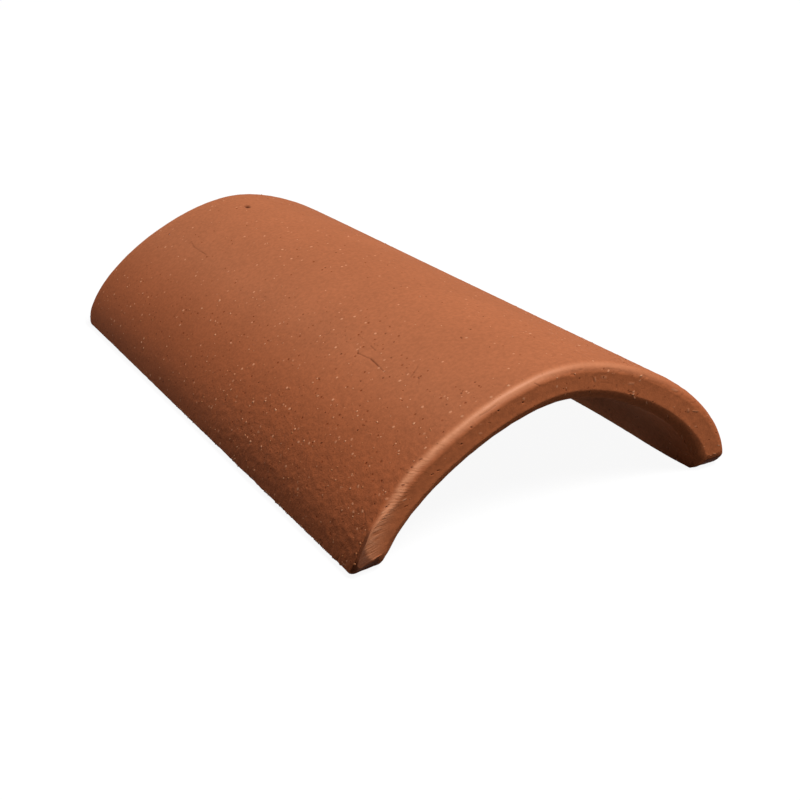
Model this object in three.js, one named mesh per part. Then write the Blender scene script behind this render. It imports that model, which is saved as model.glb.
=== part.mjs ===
import * as THREE from 'three';

// Clay barrel roof tile: a tapered half-round shell of fired clay, open at both ends and along its
// underside. A sheet of clay is bent over a tapered former, so the wall keeps one thickness from
// foot to foot. The outside of the two ends is wiped round while the clay is soft. The inside of
// their edge and the ends of the feet are cut back instead, as nearly flat bevels.
//
// Millimetres. +Z is up and +Y runs from the wide end to the narrow end. The tile stands on its two
// long feet, hollow side down, and the origin lies on the floor under the middle of the tile.

// ---- Driving dimensions ----

const LENGTH = 284;

// Outside width across the feet and outside height of the crown, at the two ends.
const WIDE_END_WIDTH = 190;
const WIDE_END_RISE = 67;
const NARROW_END_WIDTH = 170.5;
const NARROW_END_RISE = 58.5;

const WALL = 15.8;

// The section is a smooth arch: its crown has this radius, and this high handle of its curve
// stands upright over each foot.
const WIDE_CROWN_RADIUS = 59;
const NARROW_CROWN_RADIUS = 54.5;
const WIDE_UPRIGHT = 32;
const NARROW_UPRIGHT = 28;

// Rounding of the long edges of the feet, and of the same edges where they come to the end faces.
const FOOT_OUTER_ROUND = 3;
const FOOT_INNER_ROUND = 1.5;
const CORNER_OUTER_ROUND = 1.5;
const CORNER_INNER_ROUND = 3;

// Edges of the two ends. The outside is a round. The inside is a bevel, with its width across the
// face and its depth along the tile, and so is the end of each foot, with its height up the face
// and its depth along the tile. The foot's depth fades into the others over this height.
const END_OUTER_ROUND = 4.3;
const END_INNER_BEVEL = 4.5;
const END_INNER_BEVEL_DEPTH = 3;
const END_FOOT_BEVEL = 8;
const END_FOOT_BEVEL_DEPTH = 5.8;
const END_FOOT_FADE = 9;

// Fullness of an edge's profile: 1 is a flat bevel and 2 a quarter circle.
const ROUND_FULLNESS = 2;
const BEVEL_FULLNESS = 1.2;

// ---- Fineness of the mesh ----

const ARCH_STEPS = 28;
const CORNER_STEPS = 4;
const ROUND_STEPS = 6;
const HALVINGS = 40;

// ---- Section ----

// Of two roundings that meet across a thickness, each takes at most this share of it.
const DEEPEST_SHARE = 0.45;
const within = (thickness, round) => Math.min(round, DEEPEST_SHARE * thickness);

// Right half of the outside arch at a share of the way from the wide end (0) to the narrow end
// (1), as a curve from the crown (0) to the foot (1). A cubic leaves the crown level and meets the
// foot upright, and its first handle gives the crown its radius.
function halfArchAt(share) {
  const between = (wide, narrow) => THREE.MathUtils.lerp(wide, narrow, share);
  const halfWidth = between(WIDE_END_WIDTH, NARROW_END_WIDTH) / 2;
  const rise = between(WIDE_END_RISE, NARROW_END_RISE);
  const crownRadius = between(WIDE_CROWN_RADIUS, NARROW_CROWN_RADIUS);
  const upright = between(WIDE_UPRIGHT, NARROW_UPRIGHT);
  const crownHandle = Math.sqrt((2 / 3) * crownRadius * (rise - upright));
  return new THREE.CubicBezierCurve(
    new THREE.Vector2(0, rise),
    new THREE.Vector2(crownHandle, rise),
    new THREE.Vector2(halfWidth, upright),
    new THREE.Vector2(halfWidth, 0),
  );
}

// Point at t on the arch, moved into the wall by depth along the arch's normal.
function insetPoint(arch, t, depth) {
  const tangent = arch.getTangent(t);
  const inward = new THREE.Vector2(tangent.y, -tangent.x);
  return arch.getPoint(t).addScaledVector(inward, depth);
}

// The t at which the inset arch comes down to a height, found by halving.
function parameterAtHeight(arch, depth, height) {
  let above = 0;
  let below = 1;
  for (let halving = 0; halving < HALVINGS; halving += 1) {
    const middle = (above + below) / 2;
    if (insetPoint(arch, middle, depth).y > height) above = middle;
    else below = middle;
  }
  return (above + below) / 2;
}

// One side of the wall, from the crown down to the level of the foot and round its long edge.
// The edge turns towards the middle of the tile (-1) or away from it (+1).
function wallSide(arch, depth, footLevel, round, edgeTurns) {
  const last = parameterAtHeight(arch, depth, footLevel + round);
  const points = [];
  for (let step = 0; step <= ARCH_STEPS; step += 1) {
    points.push(insetPoint(arch, (last * step) / ARCH_STEPS, depth));
  }
  const edge = points[ARCH_STEPS];
  for (let step = 1; step <= CORNER_STEPS; step += 1) {
    const turn = ((Math.PI / 2) * step) / CORNER_STEPS;
    points.push(new THREE.Vector2(
      edge.x + edgeTurns * round * (1 - Math.cos(turn)),
      edge.y - round * Math.sin(turn),
    ));
  }
  return points;
}

// Left foot to right foot along one side of the wall: the right half and its mirror image.
function mirrored(rightHalf) {
  const leftHalf = rightHalf.slice(1).reverse().map(({ x, y }) => new THREE.Vector2(-x, y));
  return [...leftHalf, ...rightHalf];
}

// ---- Stations along the tile ----

// How far an edge's profile still lies inside the full section, and how far behind the end face,
// as shares of the edge's width and depth.
const profile = (turn, fullness) => ({
  drawnIn: 1 - Math.sin(turn) ** (2 / fullness),
  setBack: 1 - Math.cos(turn) ** (2 / fullness),
});

// One ring of points round the wall near an end: turn 0 is the flat end face, and at a quarter
// turn the edges have run out into the full section.
function ringNearEnd(faceY, inwardSign, turn) {
  const rounded = profile(turn, ROUND_FULLNESS);
  const bevelled = profile(turn, BEVEL_FULLNESS);
  const outerRound = within(WALL, END_OUTER_ROUND);
  const outerDepth = outerRound * rounded.drawnIn;
  const innerDepth = WALL - within(WALL, END_INNER_BEVEL) * bevelled.drawnIn;
  const arch = halfArchAt((faceY + inwardSign * outerRound * rounded.setBack) / LENGTH + 0.5);
  const footLevel = END_FOOT_BEVEL * bevelled.drawnIn;
  const footBack = END_FOOT_BEVEL_DEPTH * bevelled.setBack;

  const ringSide = (depth, back, footRound, cornerRound, edgeTurns) => {
    const edgeRound = THREE.MathUtils.lerp(footRound, cornerRound, bevelled.drawnIn);
    const round = within(innerDepth - outerDepth, edgeRound);
    const outline = mirrored(wallSide(arch, depth, footLevel, round, edgeTurns));
    return outline.map(({ x, y: z }) => {
      const clearOfFoot = THREE.MathUtils.smoothstep(z, 0, END_FOOT_FADE);
      const pointBack = THREE.MathUtils.lerp(footBack, back, clearOfFoot);
      return new THREE.Vector3(x, faceY + inwardSign * pointBack, z);
    });
  };
  const outerBack = outerRound * rounded.setBack;
  const innerBack = END_INNER_BEVEL_DEPTH * bevelled.setBack;
  return {
    outer: ringSide(outerDepth, outerBack, FOOT_OUTER_ROUND, CORNER_OUTER_ROUND, -1),
    inner: ringSide(innerDepth, innerBack, FOOT_INNER_ROUND, CORNER_INNER_ROUND, 1),
  };
}

// The shaped end of the tile, from its flat face back to the full section.
function shapedEnd(faceY, inwardSign) {
  const rings = [];
  for (let step = 0; step <= ROUND_STEPS; step += 1) {
    rings.push(ringNearEnd(faceY, inwardSign, ((Math.PI / 2) * step) / ROUND_STEPS));
  }
  return rings;
}

// ---- Solid ----

// Joins the rings into one closed skin: outside, inside, the two feet and the two end faces.
function loftShell(rings) {
  const across = rings[0].outer.length;
  const points = rings.flatMap(({ outer, inner }) => [...outer, ...inner]);
  const outer = (ring, column) => ring * 2 * across + column;
  const inner = (ring, column) => outer(ring, column) + across;

  const triangles = [];
  const quad = (a, b, c, d) => triangles.push(a, b, c, a, c, d);
  const rightFoot = across - 1;
  for (let ring = 0; ring + 1 < rings.length; ring += 1) {
    const next = ring + 1;
    for (let column = 0; column < rightFoot; column += 1) {
      quad(outer(ring, column), outer(ring, column + 1), outer(next, column + 1), outer(next, column));
      quad(inner(ring, column), inner(next, column), inner(next, column + 1), inner(ring, column + 1));
    }
    quad(outer(ring, 0), outer(next, 0), inner(next, 0), inner(ring, 0));
    quad(outer(ring, rightFoot), inner(ring, rightFoot), inner(next, rightFoot), outer(next, rightFoot));
  }
  const last = rings.length - 1;
  for (let column = 0; column < rightFoot; column += 1) {
    quad(outer(0, column), inner(0, column), inner(0, column + 1), outer(0, column + 1));
    quad(outer(last, column), outer(last, column + 1), inner(last, column + 1), inner(last, column));
  }

  const geometry = new THREE.BufferGeometry().setFromPoints(points);
  geometry.setIndex(triangles);
  geometry.computeVertexNormals();
  return geometry;
}

const shell = loftShell([
  ...shapedEnd(-LENGTH / 2, 1),
  ...shapedEnd(LENGTH / 2, -1).reverse(),
]);

const firedClay = new THREE.MeshStandardMaterial({ color: 0xba704a, roughness: 0.85, metalness: 0 });

const tile = new THREE.Mesh(shell, firedClay);
tile.name = 'barrel_tile';

const roofTile = new THREE.Group();
roofTile.add(tile);

export default roofTile;
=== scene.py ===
# %% [markdown]
# # A clay barrel roof tile
# The real tile starts as a flat sheet of wet clay that is bent over a tapered wooden former, trimmed,
# wiped round its ends with a wet hand, dried and fired. In this lesson we rebuild it in that order:
# first the plain bent sheet, then the unevenness of hand work, then the marks and the grit in the
# clay, and last the colour of the fired surface. Every length is a real one in millimetres.

# %% Load the engineering model
import math

import bmesh
import bpy
import numpy as np
from mathutils import Matrix, Vector, noise


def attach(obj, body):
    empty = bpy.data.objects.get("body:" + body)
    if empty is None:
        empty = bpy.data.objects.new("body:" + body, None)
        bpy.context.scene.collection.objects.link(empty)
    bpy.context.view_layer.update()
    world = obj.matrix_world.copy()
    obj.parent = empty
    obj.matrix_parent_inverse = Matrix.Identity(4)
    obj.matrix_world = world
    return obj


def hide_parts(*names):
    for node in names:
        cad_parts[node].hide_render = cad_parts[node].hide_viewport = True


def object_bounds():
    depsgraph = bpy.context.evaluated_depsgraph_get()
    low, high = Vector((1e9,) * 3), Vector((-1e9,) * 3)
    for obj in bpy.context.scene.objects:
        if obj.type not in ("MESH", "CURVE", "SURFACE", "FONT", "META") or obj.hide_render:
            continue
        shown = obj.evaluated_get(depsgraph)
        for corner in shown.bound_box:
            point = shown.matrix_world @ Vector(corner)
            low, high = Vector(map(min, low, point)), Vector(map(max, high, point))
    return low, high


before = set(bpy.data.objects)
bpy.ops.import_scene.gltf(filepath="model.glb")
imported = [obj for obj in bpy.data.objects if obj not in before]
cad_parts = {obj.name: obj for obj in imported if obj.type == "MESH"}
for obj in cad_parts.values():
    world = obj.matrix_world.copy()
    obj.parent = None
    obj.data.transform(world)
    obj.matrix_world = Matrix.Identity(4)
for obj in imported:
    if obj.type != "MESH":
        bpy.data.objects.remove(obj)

MM = 0.001
cad_low, cad_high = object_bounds()
print("size of the solid in mm:", [round((high - low) / MM, 1) for low, high in zip(cad_low, cad_high)])

# %% [markdown]
# ## The section
# A tile's section is not a true half circle: clay slumps a little on the former, so the crown is a
# bit flatter and the flanks come down nearly upright. One cubic curve from the crown to the foot
# describes that with four numbers: the width, the rise, the radius over the crown and how much of
# the flank is upright. The tile tapers, so each end has its own set.

# %% The arch and its wall
LENGTH = 284.0
WALL = 15.8
WIDE_END = {"width": 190.0, "rise": 67.0, "crown_radius": 59.0, "upright": 32.0}
NARROW_END = {"width": 170.5, "rise": 58.5, "crown_radius": 54.5, "upright": 28.0}


def blend(first, second, share):
    return first + (second - first) * share


def smoothstep(value, low, high):
    share = np.clip((value - low) / (high - low), 0, 1)
    return share * share * (3 - 2 * share)


def arch_handles(share):
    """Four control points (x, z) of the right half arch; share runs from the wide to the narrow end."""
    size = {name: blend(WIDE_END[name], NARROW_END[name], share) for name in WIDE_END}
    # A first handle of this length bends the curve to the crown's radius.
    reach = math.sqrt(2 / 3 * size["crown_radius"] * (size["rise"] - size["upright"]))
    half = size["width"] / 2
    return np.array([(0, size["rise"]), (reach, size["rise"]), (half, size["upright"]), (half, 0)])


def arch_inset(share, t, depth):
    """Points on the arch at each t, moved into the wall by depth along the arch's normal."""
    a, b, c, d = arch_handles(share)
    t = np.asarray(t, float)[..., None]
    point = a * (1 - t) ** 3 + 3 * b * t * (1 - t) ** 2 + 3 * c * t * t * (1 - t) + d * t ** 3
    tangent = 3 * ((b - a) * (1 - t) ** 2 + 2 * (c - b) * t * (1 - t) + (d - c) * t * t)
    tangent /= np.linalg.norm(tangent, axis=-1, keepdims=True)
    inward = np.stack([tangent[..., 1], -tangent[..., 0]], axis=-1)
    return point + np.asarray(depth)[..., None] * inward


print("foot of the wide end in mm:", arch_inset(0.0, 1.0, 0.0).round(1))

# %% [markdown]
# ## One side of the wall
# We could extrude the section and bevel its edges, but a bevel keeps one radius along an edge, and a
# tile's ends are wiped round most of all at the feet. So we loft the skin ourselves from rings. Each
# ring is a line up the outside of the wall, one along the inside, and short ones across the feet.
# Near an end the rings shrink on a quarter turn, which rounds the edge over.

# %% Roundings and bevels
FOOT_OUTER_ROUND, FOOT_INNER_ROUND = 3.0, 1.5
CORNER_OUTER_ROUND, CORNER_INNER_ROUND = 1.5, 3.0
END_OUTER_ROUND = 4.3
END_INNER_BEVEL, END_INNER_BEVEL_DEPTH = 4.5, 3.0
END_FOOT_BEVEL, END_FOOT_BEVEL_DEPTH = 8.0, 5.8
END_FOOT_FADE = 9.0
# Fullness of an edge's profile: 1 is a flat bevel and 2 a quarter circle.
ROUND_FULLNESS, BEVEL_FULLNESS, INNER_FULLNESS = 2.0, 1.2, 1.35
QUARTER = math.pi / 2


def edge_profile(turn, fullness):
    """How much of an edge's width is still drawn in, and of its depth already left behind."""
    return 1 - math.sin(turn) ** (2 / fullness), 1 - max(math.cos(turn), 0) ** (2 / fullness)


halfway_round = [round(part, 2) for part in edge_profile(QUARTER / 2, ROUND_FULLNESS)]
print("halfway round an edge, drawn in and left behind:", halfway_round)

# %% Half of a line, from the crown to the foot
# The wiping hand lifted off at the wide end's left foot, below this part of the arch. There the edge
# stayed squarer, its bevel comes closer to the end, and it stays lower along the outer side.
LIFT_FROM, LIFT_TO = 0.66, 0.80
LEFT_FOOT_SHARE, LEFT_FOOT_CLOSER, LEFT_FOOT_LOWER = 0.35, 0.3, 0.65
CORNER_STEPS = 4
HALVINGS = 40


def t_at_height(share, depth, height):
    above, below = 0.0, 1.0
    for _ in range(HALVINGS):
        middle = (above + below) / 2
        if arch_inset(share, middle, depth)[1] > height:
            above = middle
        else:
            below = middle
    return (above + below) / 2


def half_side(share, shell_depth, edge_depth, foot_share, foot_level, edge_round, edge_turns, steps):
    """Crown to foot along one side of the wall: each point's x and z, and the share taken there.

    The edge of an end takes edge_depth off the wall, and at the foot only foot_share of that.
    """
    last = t_at_height(share, shell_depth + edge_depth * foot_share, foot_level + edge_round)
    t = np.linspace(0, last, steps + 1)
    taken = blend(1.0, foot_share, smoothstep(t, LIFT_FROM, LIFT_TO))
    x, z = arch_inset(share, t, shell_depth + edge_depth * taken).T
    turn = np.linspace(0, QUARTER, CORNER_STEPS + 1)[1:]
    corner_x = x[-1] + edge_turns * edge_round * (1 - np.cos(turn))
    corner_z = z[-1] - edge_round * np.sin(turn)
    corner_taken = np.full(CORNER_STEPS, foot_share)
    return np.append(x, corner_x), np.append(z, corner_z), np.append(taken, corner_taken)


foot_t = t_at_height(0.0, WALL, FOOT_INNER_ROUND)
print("the inside comes down to its foot at this part of the arch:", round(foot_t, 3))

# %% A ring near an end
# Of two roundings that meet across the wall, each takes at most this share of it.
DEEPEST_SHARE = 0.45


def ring_near_end(end, turn, outer_steps, inner_steps):
    """Outside and inside lines of a ring. End is -1 (wide) or +1 (narrow).

    Turn 0 is the end's flat face, and at a quarter turn the wall is full.
    """
    round_in, round_back = edge_profile(turn, ROUND_FULLNESS)
    bevel_in, bevel_back = edge_profile(turn, BEVEL_FULLNESS)
    inner_in, inner_back = edge_profile(turn, INNER_FULLNESS)
    outer_edge, inner_edge = END_OUTER_ROUND * round_in, -END_INNER_BEVEL * inner_in
    outer_back, inner_back = END_OUTER_ROUND * round_back, END_INNER_BEVEL_DEPTH * inner_back
    thickness = WALL - outer_edge + inner_edge
    share = end * (LENGTH / 2 - outer_back) / LENGTH + 0.5

    def side(shell_depth, edge_depth, back, foot_round, corner_round, edge_turns, steps):
        edge_round = min(blend(foot_round, corner_round, bevel_in), DEEPEST_SHARE * thickness)
        halves = []
        for side_sign in (-1, 1):
            lifted_off = side_sign == edge_turns == end == -1
            foot_share, lower = (LEFT_FOOT_SHARE, LEFT_FOOT_LOWER) if lifted_off else (1.0, 1.0)
            foot_level = END_FOOT_BEVEL * bevel_in * lower
            x, z, taken = half_side(share, shell_depth, edge_depth, foot_share, foot_level,
                                    edge_round, edge_turns, steps)
            foot_back = END_FOOT_BEVEL_DEPTH * bevel_back * blend(1.0, taken, LEFT_FOOT_CLOSER)
            point_back = blend(foot_back, back * taken, smoothstep(z, 0, END_FOOT_FADE))
            halves.append(np.stack([side_sign * x, end * (LENGTH / 2 - point_back), z], axis=1))
        return np.concatenate([halves[0][:0:-1], halves[1]])

    return (
        side(0.0, outer_edge, outer_back, FOOT_OUTER_ROUND, CORNER_OUTER_ROUND, -1, outer_steps),
        side(WALL, inner_edge, inner_back, FOOT_INNER_ROUND, CORNER_INNER_ROUND, 1, inner_steps),
    )


face_line, _ = ring_near_end(-1, 0.0, CORNER_STEPS, CORNER_STEPS)
print("flat face of the wide end, over its feet, in mm:", np.ptp(face_line[:, 0]).round(1))

# %% [markdown]
# ## How fine the mesh is
# Fine relief needs small faces, but a tile has a lot of surface. The wide end shows its edges and
# the strokes of the hand, so the mesh is finest there; the plain barrel needs less than half of that,
# and the hollow side less again. Lines with different numbers of points are joined by triangles.
#
# Each point also remembers its place on the flat sheet of clay: how far across from the crown it
# lies, and how far it runs from the barrel (negative) over the wide end (0 to 19 mm) into the hollow.
# With those two numbers we can scratch and stain the sheet as if it were still flat on the table.

# %% A ring of a shaped end, and its place on the sheet
FULL_FROM = -LENGTH / 2 + END_OUTER_ROUND
FULL_LENGTH = LENGTH - 2 * END_OUTER_ROUND
# The run at which the flat face starts and ends, and at which the inner bevel meets the hollow.
FACE_FROM = END_OUTER_ROUND * QUARTER
FACE_TO = FACE_FROM + WALL - END_OUTER_ROUND - END_INNER_BEVEL
HOLLOW_FROM = FACE_TO + math.hypot(END_INNER_BEVEL, END_INNER_BEVEL_DEPTH)


def from_crown(line):
    """Distance of each point of a line over the arch from its middle point, negative on the left."""
    steps = np.linalg.norm(np.diff(line, axis=0), axis=1)
    along = np.concatenate([[0], np.cumsum(steps)])
    return along - along[len(line) // 2]


def end_ring(end, turn, steps):
    """A ring of the shaped end, how far its outside and inside run on the sheet, and its places across."""
    beyond = 0 if end < 0 else FULL_LENGTH
    around = END_OUTER_ROUND * (QUARTER - turn)
    inner_in, inner_back = edge_profile(turn, INNER_FULLNESS)
    down_bevel = math.hypot(END_INNER_BEVEL * (1 - inner_in), END_INNER_BEVEL_DEPTH * inner_back)
    into = HOLLOW_FROM + beyond + end * (HOLLOW_FROM - FACE_TO - down_bevel)
    full = ring_near_end(end, QUARTER, steps, steps)[0]
    return ring_near_end(end, turn, steps, steps), (-end * around - beyond, into), from_crown(full)


print("run of the flat face in mm: from", round(FACE_FROM, 2), "to", round(FACE_TO, 2))

# %% The rings along the tile
# From this y on: spacing of the rings, then steps over half the outside and half the inside.
FINENESS = [
    (-142.0, 0.55, 220, 80),
    (-129.0, 1.15, 100, 36),
    (-10.0, 1.9, 60, 36),
    (131.0, 1.0, 90, 36),
]
NEAR_ROUND_STEPS, FAR_ROUND_STEPS = 16, 8


def middle_rings():
    """The rings of full wall between the shaped ends, blended between the last ring of each."""
    made = []
    full_rings = {}
    zones = iter(FINENESS[1:] + [(math.inf, 0, 0, 0)])
    _, spacing, *steps = FINENESS[0]
    zone = next(zones)
    along = spacing
    while along < FULL_LENGTH - spacing / 2:
        if FULL_FROM + along >= zone[0]:
            _, spacing, *steps = zone
            zone = next(zones)
        key = tuple(steps)
        if key not in full_rings:
            full_rings[key] = [ring_near_end(end, QUARTER, *key) for end in (-1, 1)]
        wide, narrow = full_rings[key]
        ring = [blend(first, second, along / FULL_LENGTH) for first, second in zip(wide, narrow)]
        made.append((ring, (-along, HOLLOW_FROM + along), from_crown(ring[0])))
        along += spacing
    return made


near_turns = np.linspace(0, QUARTER, NEAR_ROUND_STEPS + 1)
far_turns = np.linspace(QUARTER, 0, FAR_ROUND_STEPS + 1)
rings = [end_ring(-1, turn, FINENESS[0][2]) for turn in near_turns]
rings += middle_rings()
rings += [end_ring(1, turn, FINENESS[-1][2]) for turn in far_turns]
print("rings along the tile:", len(rings))

# %% Lay the points of each ring
FOOT_STEPS = 10
points = []
places_on_sheet = []


def keep(new_points, across, run):
    start = len(points)
    points.extend(map(tuple, new_points))
    across, run = (np.broadcast_to(values, len(new_points)) for values in (across, run))
    places_on_sheet.extend(zip(across, run))
    return list(range(start, len(points)))


def across_foot(outer_index, inner_index):
    """The points from the outside to the inside over the sole of a foot."""
    share = np.linspace(0, 1, FOOT_STEPS + 1)[1:-1, None]
    outer_point, inner_point = np.array(points[outer_index]), np.array(points[inner_index])
    across, run = places_on_sheet[outer_index]
    further = math.copysign(np.linalg.norm(inner_point - outer_point), across)
    between = keep(blend(outer_point, inner_point, share), across + further * share[:, 0], run)
    return [outer_index] + between + [inner_index]


def lay_ring(ring, runs, places_across):
    """Both lines of a ring take their places across the sheet from the full outside line."""
    lines = []
    for line, run in zip(ring, runs):
        columns = np.linspace(0, len(places_across) - 1, len(line))
        lines.append(keep(line, np.interp(columns, np.arange(len(places_across)), places_across), run))
    outer, inner = lines
    return outer, inner, across_foot(outer[0], inner[0]), across_foot(outer[-1], inner[-1])


laid = [lay_ring(*ring) for ring in rings]
print("points laid:", len(points))

# %% Join the rings into one closed skin
faces = []


def stitch(first, second):
    """Faces between two lines of points: squares where they match, triangles where they don't."""
    if len(first) == len(second):
        faces.extend(zip(first, first[1:], second[1:], second))
        return
    i = j = 0
    while i < len(first) - 1 or j < len(second) - 1:
        if (i + 1) * (len(second) - 1) <= (j + 1) * (len(first) - 1):
            faces.append((first[i], first[i + 1], second[j]))
            i += 1
        else:
            faces.append((first[i], second[j + 1], second[j]))
            j += 1


def close_end(ring, end):
    """Fill an end's face with rows of squares, as many as a foot has steps, so that they meet it."""
    outer, inner, left_foot, right_foot = ring
    outside, inside = (np.array([points[k] for k in line]) for line in (outer, inner))
    across_outside, across_inside = (
        np.array([places_on_sheet[k][0] for k in line]) for line in (outer, inner))
    run_outside = places_on_sheet[outer[0]][1]
    run_inside = run_outside - end * (FACE_TO - FACE_FROM)
    row = outer
    for foot_step in range(1, FOOT_STEPS):
        share = foot_step / FOOT_STEPS
        across = blend(across_outside, across_inside, share)[1:-1]
        run = blend(run_outside, run_inside, share)
        between = keep(blend(outside, inside, share)[1:-1], across, run)
        next_row = [left_foot[foot_step]] + between + [right_foot[foot_step]]
        stitch(row, next_row)
        row = next_row
    stitch(row, inner)


for here, there in zip(laid, laid[1:]):
    for first, second in zip(here, there):
        stitch(first, second)
close_end(laid[0], -1)
close_end(laid[-1], 1)
print("faces:", len(faces))

# %% The bent sheet
CUBIC_MM_IN_CM = 1000

sheet = bpy.data.meshes.new("bent_sheet")
sheet.from_pydata(points, [], faces)
clay = bmesh.new()
clay.from_mesh(sheet)
across_layer = clay.verts.layers.float.new("across")
run_layer = clay.verts.layers.float.new("run")
for vert, (across, run) in zip(clay.verts, places_on_sheet):
    vert[across_layer] = across
    vert[run_layer] = run
bmesh.ops.recalc_face_normals(clay, faces=clay.faces)
open_edges = sum(1 for edge in clay.edges if len(edge.link_faces) != 2)
print("bent sheet:", len(clay.verts), "points,", len(clay.faces), "faces,", open_edges, "open edges,",
      round(clay.calc_volume() / CUBIC_MM_IN_CM, 1), "cm3")

# %% [markdown]
# ## The marks of making and handling
# A tile is scratched by grit under the hand, torn where the wire or the knife left the clay, chipped
# at a lip, and pitted where a grain fell out. We could paint such marks, but a mark that is only
# paint looks flat as soon as the light moves. So each one is drawn on the flat sheet as a short line
# with a width and a depth and cut into the mesh. Afterwards it is darkened with painted shade, a dark
# colour standing for the shadow in the cut, or left chalky.

# %% Kinds of mark, in millimetres
# Half its width, how deep it goes (negative stands out), how dark its painted shade is and how chalky it is.
MARK_KINDS = {
    "hair": (0.25, 0.06, 0.28, 0.0),
    "scratch": (0.28, 0.12, 0.50, 0.0),
    "furrow": (0.36, 0.24, 0.75, 0.0),
    "crack": (0.28, 0.12, 0.30, 0.0),
    "crease": (0.45, 0.05, 0.08, 0.0),
    "pit": (0.46, 0.36, 0.95, 0.0),
    "hole": (1.40, 1.00, 1.00, 0.0),
    "tear": (0.55, 0.16, 0.20, 0.0),
    "bead": (0.62, -0.28, 0.0, 1.0),
    "chalk": (0.62, -0.05, 0.0, 0.7),
    "ridge": (0.50, -0.14, 0.0, 0.3),
    "swell": (0.70, -0.07, 0.0, 0.25),
}
print("kinds of mark:", ", ".join(MARK_KINDS))

# %% Where the marks are
def barrel(across, y):
    """A place on the outside of the barrel, given by its distance from the crown and its y."""
    return across, FULL_FROM - y


# A kind, and the places that its line goes through: across, and run over the edge.
LINE_MARKS = [
    ("scratch", barrel(-46.4, -60.5), barrel(-47.7, -62.8), barrel(-46.9, -71.2)),
    ("furrow", barrel(-46.9, -71.2), barrel(-47.8, -77.9)),
    ("scratch", barrel(-47.8, -77.9), barrel(-48.7, -84.6)),
    ("scratch", barrel(-41.7, -63.4), barrel(-42.4, -68.3)),
    ("hair", barrel(-49.5, -35.0), barrel(-47.1, -37.6), barrel(-45.0, -35.9)),
    ("tear", barrel(-44.4, -97.6), barrel(-39.1, -94.7)),
    ("furrow", barrel(-42.9, -100.6), barrel(-43.2, -101.6)),
    ("hair", barrel(-43.2, -101.6), barrel(-45.8, -105.2)),
    ("furrow", barrel(-15.0, -91.3), barrel(-15.3, -92.5)),
    ("scratch", barrel(-42.8, 106.0), barrel(-44.7, 98.9), barrel(-44.9, 91.7), barrel(-44.6, 84.5)),
    ("hole", barrel(-4.3, 114.9), barrel(-4.0, 117.2)),
    ("tear", barrel(-102.0, 9.5), barrel(-105.5, 10.5)),
    ("tear", barrel(-101.5, 3.4), barrel(-104.0, 4.6)),
    ("furrow", (-71.5, 1.4), (-70.9, 1.8)),
    ("tear", (-99.5, 1.8), (-97.0, 1.2)),
    ("hair", (-43.8, -1.2), (-43.2, -0.2)),
    ("hair", (-44.0, 4.0), (-40.0, 4.4), (-36.0, 4.2)),
    ("scratch", (-16.5, 4.4), (-15.0, 6.4)),
    ("tear", (2.0, 6.2), (4.2, 6.6)),
    ("crease", (6.0, 4.7), (8.5, 4.9)),
    ("crease", (19.5, 4.5), (24.0, 4.8), (30.0, 4.6)),
    ("crease", (44.0, 4.7), (50.0, 4.9)),
    ("crack", (15.6, 8.4), (16.4, 9.5), (17.4, 10.4)),
    ("ridge", (17.2, 8.8), (18.4, 10.2)),
    ("swell", (21.5, 8.4), (24.2, 8.6)),
    ("hair", (22.0, 10.6), (30.0, 10.8)),
    ("hair", (33.4, 11.0), (35.0, 12.4)),
    ("swell", (41.0, 9.5), (43.4, 9.2)),
    ("tear", (44.6, 13.3), (46.4, 12.9)),
    ("hair", (50.8, 10.6), (52.4, 9.8)),
    ("crease", (51.0, 6.1), (58.0, 6.2), (62.5, 6.3)),
    ("crease", (66.0, 6.3), (72.0, 6.1)),
    ("swell", (67.0, 5.3), (70.0, 5.1)),
    ("ridge", (86.4, 8.6), (88.0, 9.4)),
    ("ridge", (89.6, 7.8), (91.4, 6.8)),
]
# Marks at a single place.
SPOT_MARKS = {
    "chalk": [
        barrel(-13.8, -93.8), barrel(-17.0, 131.3), (-24.2, 8.3), (-6.0, 9.6), (-47.6, -0.8),
        (-34.0, 0.0),
    ],
    "pit": [
        barrel(-8.1, -88.6), barrel(-33.0, -61.9), barrel(-34.4, -70.5), barrel(-41.6, -79.0),
        barrel(-51.4, -86.9), barrel(-39.3, -125.2), barrel(-31.8, -124.1), barrel(-46.9, -125.5),
        barrel(-45.5, -12.6), barrel(-7.5, -30.0), (-75.4, 1.2), (-94.3, 3.7), (-78.3, 10.0),
        (-76.3, 10.8), (-59.2, 8.8), (-50.0, 5.6), (-36.8, 6.8), (-25.6, 9.8), (46.6, 13.8),
        (64.6, 13.7),
    ],
    "bead": [
        (-91.2, 8.0), (-25.4, -0.4), (44.4, 5.2), (47.4, 12.4), (48.4, 13.5), (49.7, 14.9),
    ],
}
MARKS = LINE_MARKS + [(kind, place) for kind, places in SPOT_MARKS.items() for place in places]
print("marks on the sheet:", len(MARKS))

# %% Make the mesh finer where a mark will be
# Edges longer than the first are halved near a mark, and then those longer than the second.
FINE_EDGES = (0.5, 0.36)
FINE_MARGIN = 0.35
TINY = 1e-9


def distance_to_line(where, stops):
    """Distance of each sheet place to a line through the stops, or to the one stop."""
    nearest = np.full(len(where), np.inf)
    for start, stop in zip(stops, stops[1:] or stops):
        start, leg = np.array(start), np.subtract(stop, start)
        share = np.clip(((where - start) @ leg) / max(leg @ leg, TINY), 0, 1)
        nearest = np.minimum(nearest, np.linalg.norm(where - start - share[:, None] * leg, axis=1))
    return nearest


def sheet_places():
    return np.array([(vert[across_layer], vert[run_layer]) for vert in clay.verts])


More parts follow.
